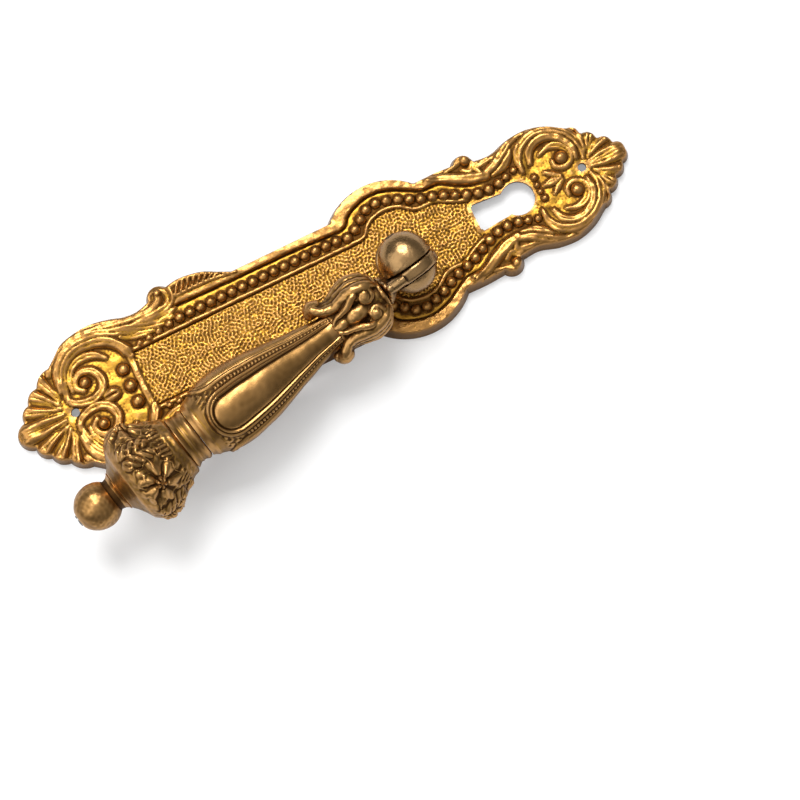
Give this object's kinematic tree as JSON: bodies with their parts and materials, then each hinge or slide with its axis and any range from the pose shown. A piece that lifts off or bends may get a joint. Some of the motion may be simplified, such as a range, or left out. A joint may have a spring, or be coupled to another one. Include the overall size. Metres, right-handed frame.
{
  "type": "drop handle on a keyhole backplate",
  "caption": "Hinged drop handle on a slotted ball post, with a long ornamental keyhole backplate, hollow behind. The post is loose: it leans and turns, and the handle swings up and over.",
  "frame": {"origin": "centre of the base of the object's box, on the plane of the backplate's back rim, with the handle at rest", "axes": "+X along the backplate from the handle end to the keyhole end, +Y across it, +Z out of its front"},
  "size_m": [0.168, 0.0562, 0.0301],
  "materials": {
    "plate_brass": "antique gilt brass, brown in the recesses",
    "post_bronze": "smooth darkened brass",
    "handle_bronze": "browned brass with worn highlights",
    "steel": "dull grey steel"
  },
  "bodies": {
    "plate": {"backplate": "plate_brass"},
    "shank": {"post_shank": "steel"},
    "post": {"post_stud": "post_bronze", "pivot_pin": "post_bronze"},
    "handle": {"handle_eye": "handle_bronze", "handle_rod": "steel", "handle_capital": "handle_bronze", "handle_body": "handle_bronze", "handle_collar": "handle_bronze", "handle_knob": "handle_bronze", "handle_finial": "handle_bronze"}
  },
  "joints": [
    {"name": "post_lean", "type": "hinge", "parent": "plate", "child": "shank", "pos_m": [0.02025, 0.00087, 0.0036], "axis": [-1, 0, 0], "range_deg": [0, 18]},
    {"name": "post_swivel", "type": "hinge", "parent": "shank", "child": "post", "pos_m": [0.02025, 0.006, 0.00527], "axis": [0, -0.309, 0.9511], "continuous": true},
    {"name": "handle_swing", "type": "hinge", "parent": "post", "child": "handle", "pos_m": [0.02064, 0.00024, 0.01633], "axis": [-0.1846, 0.9347, 0.3037], "range_deg": [0, 170]}
  ]
}
